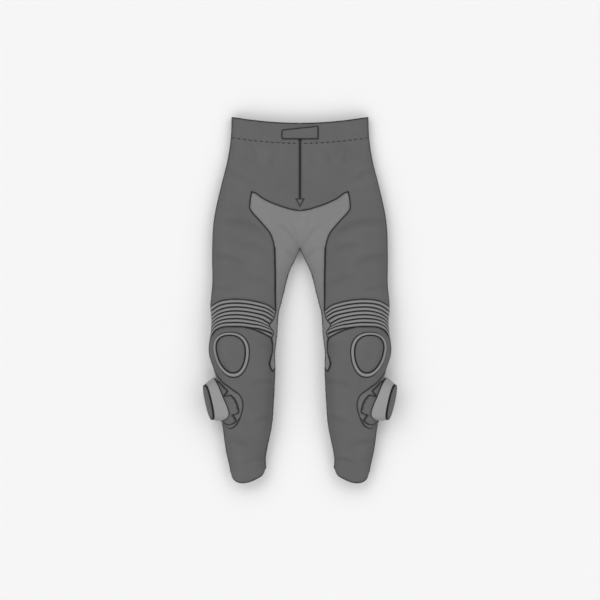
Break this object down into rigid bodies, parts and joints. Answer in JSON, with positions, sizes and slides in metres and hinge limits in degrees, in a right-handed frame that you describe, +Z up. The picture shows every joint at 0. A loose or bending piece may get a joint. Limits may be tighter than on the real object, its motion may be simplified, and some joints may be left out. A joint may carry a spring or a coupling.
{
  "type": "motorcycle trousers",
  "caption": "Leather motorcycle race trousers laid flat, with a stretch crotch panel, ribbed knee bellows, knee cups and hard knee sliders.",
  "frame": {"origin": "under the middle of the garment, on the surface that it lies on", "axes": "+X to the wearer's left, +Y up the garment to the waist, +Z up out of its front"},
  "size_m": [0.5306, 0.9999, 0.0828],
  "materials": {
    "leather": "semi-matt grained cowhide",
    "cup_leather": "smooth moulded leather",
    "stretch": "woven stretch fabric",
    "ribbed": "ribbed stretch fabric",
    "rim": "satin moulded rim",
    "loop": "loop pile",
    "hook": "hook and loop backing",
    "puck": "moulded nylon",
    "face": "scuffed nylon",
    "zip": "moulded zip chain on woven tape"
  },
  "bodies": {
    "root": {"waistband_front_right": "leather", "waistband_front_left": "leather", "waistband_back": "leather", "front_right": "leather", "front_left": "leather", "crotch_panel": "stretch", "bellows_right": "ribbed", "bellows_left": "ribbed", "lower_leg_right": "leather", "lower_leg_left": "leather", "back_right": "leather", "back_left": "leather", "knee_cup_right": "cup_leather", "knee_cup_left": "cup_leather", "knee_ring_right": "rim", "knee_ring_left": "rim", "slider_patch_right": "loop", "slider_patch_left": "loop", "slider_hook_right": "hook", "slider_hook_left": "hook", "slider_puck_right": "puck", "slider_puck_left": "puck", "slider_face_right": "face", "slider_face_left": "face", "waist_tab": "leather", "fly_zip": "zip", "fly_patch": "leather"}
  },
  "joints": []
}
